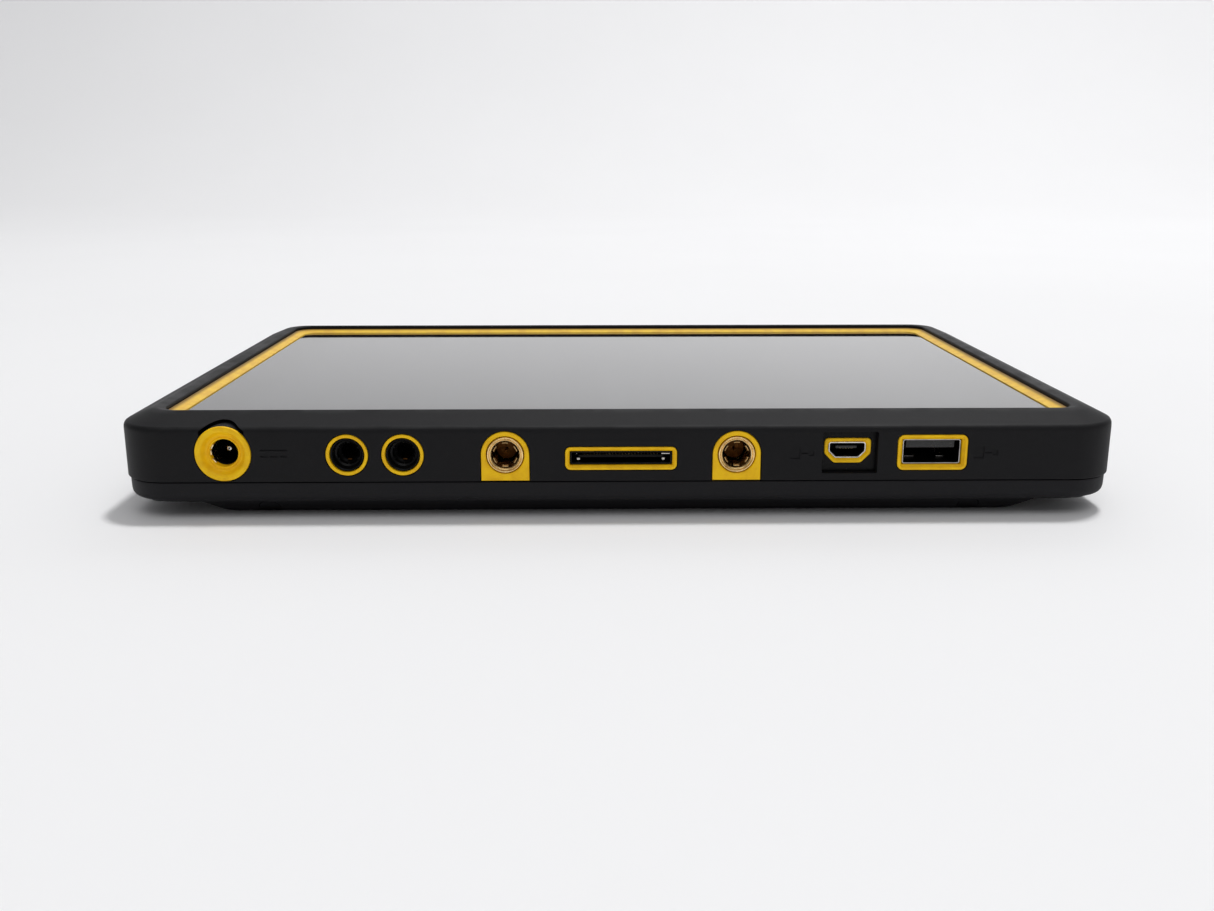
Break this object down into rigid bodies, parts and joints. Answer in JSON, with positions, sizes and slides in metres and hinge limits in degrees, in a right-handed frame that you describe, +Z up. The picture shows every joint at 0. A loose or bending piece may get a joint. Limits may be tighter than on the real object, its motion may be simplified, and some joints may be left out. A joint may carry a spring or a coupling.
{
  "type": "data collector",
  "caption": "Rugged tablet data collector for field surveying, with a framed touch screen, sealed connectors along one long side, side keys and a latched battery cover.",
  "frame": {"origin": "middle of the flat underside, on the surface that the tablet lies on, screen up", "axes": "+X along the long side, to the right when the connectors face the viewer; +Y from the connector side to the key side; +Z up, out of the screen"},
  "size_m": [0.227, 0.151, 0.024],
  "materials": {
    "housing": "fine moulded texture",
    "soft_black": "matte",
    "gloss_black": "semi-gloss",
    "seal_yellow": "satin",
    "screen_glass": "polished, dark when the screen is off",
    "window_glass": "polished",
    "plated_steel": "nickel plated",
    "brass": "gold flash over turned brass",
    "insulator": "smooth",
    "magnesium": "as cast",
    "circuit_board": "solder mask",
    "ceramic_patch": "fired ceramic",
    "battery_wrap": "shrink wrap"
  },
  "bodies": {
    "tablet": {"front_housing": "housing", "rear_housing": "housing", "battery_cover": "housing", "shell_gasket": "soft_black", "screen_trim": "seal_yellow", "cover_glass": "screen_glass", "display_panel": "gloss_black", "front_camera": "gloss_black", "chassis_frame": "magnesium", "main_board": "circuit_board", "processor_shield": "plated_steel", "heat_spreader": "magnesium", "satellite_antenna": "ceramic_patch", "radio_antenna": "circuit_board", "speaker": "gloss_black", "battery_pack": "battery_wrap", "battery_contacts": "gloss_black", "power_seal": "seal_yellow", "power_jack": "gloss_black", "power_pin": "plated_steel", "headphone_seal": "seal_yellow", "headphone_jack": "gloss_black", "microphone_seal": "seal_yellow", "microphone_jack": "gloss_black", "antenna_seal_left": "seal_yellow", "antenna_seal_right": "seal_yellow", "antenna_socket_left": "brass", "antenna_socket_right": "brass", "antenna_contact_left": "insulator", "antenna_contact_right": "insulator", "dock_seal": "seal_yellow", "dock_shell": "plated_steel", "dock_blade": "gloss_black", "micro_usb_seal": "seal_yellow", "micro_usb_shell": "plated_steel", "micro_usb_tongue": "gloss_black", "usb_seal": "seal_yellow", "usb_shell": "plated_steel", "usb_tongue": "gloss_black", "key_board": "circuit_board", "foot_front_left": "soft_black", "foot_front_right": "soft_black", "foot_back_left": "soft_black", "foot_back_right": "soft_black", "rear_camera": "gloss_black", "camera_window": "window_glass", "flash_window": "window_glass", "housing_screw_1": "plated_steel", "housing_screw_2": "plated_steel", "housing_screw_3": "plated_steel", "housing_screw_4": "plated_steel", "housing_screw_5": "plated_steel", "housing_screw_6": "plated_steel"},
    "power_button": {"power_button": "soft_black"},
    "function_button_1": {"function_button_1": "soft_black"},
    "function_button_2": {"function_button_2": "soft_black"},
    "volume_rocker": {"volume_rocker": "soft_black"},
    "battery_latch_left": {"battery_latch_left": "gloss_black"},
    "battery_latch_right": {"battery_latch_right": "gloss_black"}
  },
  "joints": [
    {"name": "power_button_press", "type": "slide", "parent": "tablet", "child": "power_button", "axis": [0, -1, 0], "range_m": [0, 0.0006], "stiffness_N_per_m": 1500, "springref_m": -0.0008},
    {"name": "function_button_1_press", "type": "slide", "parent": "tablet", "child": "function_button_1", "axis": [0, -1, 0], "range_m": [0, 0.0006], "stiffness_N_per_m": 1500, "springref_m": -0.0008},
    {"name": "function_button_2_press", "type": "slide", "parent": "tablet", "child": "function_button_2", "axis": [0, -1, 0], "range_m": [0, 0.0006], "stiffness_N_per_m": 1500, "springref_m": -0.0008},
    {"name": "volume_rocker_tilt", "type": "hinge", "parent": "tablet", "child": "volume_rocker", "pos_m": [-0.023, 0.074, 0.0144], "axis": [0, 0, 1], "range_deg": [-2.5, 2.5], "stiffness_Nm_per_rad": 0.4},
    {"name": "battery_latch_left_slide", "type": "slide", "parent": "tablet", "child": "battery_latch_left", "axis": [-1, 0, 0], "range_m": [0, 0.004]},
    {"name": "battery_latch_right_slide", "type": "slide", "parent": "tablet", "child": "battery_latch_right", "axis": [1, 0, 0], "range_m": [0, 0.004]}
  ]
}
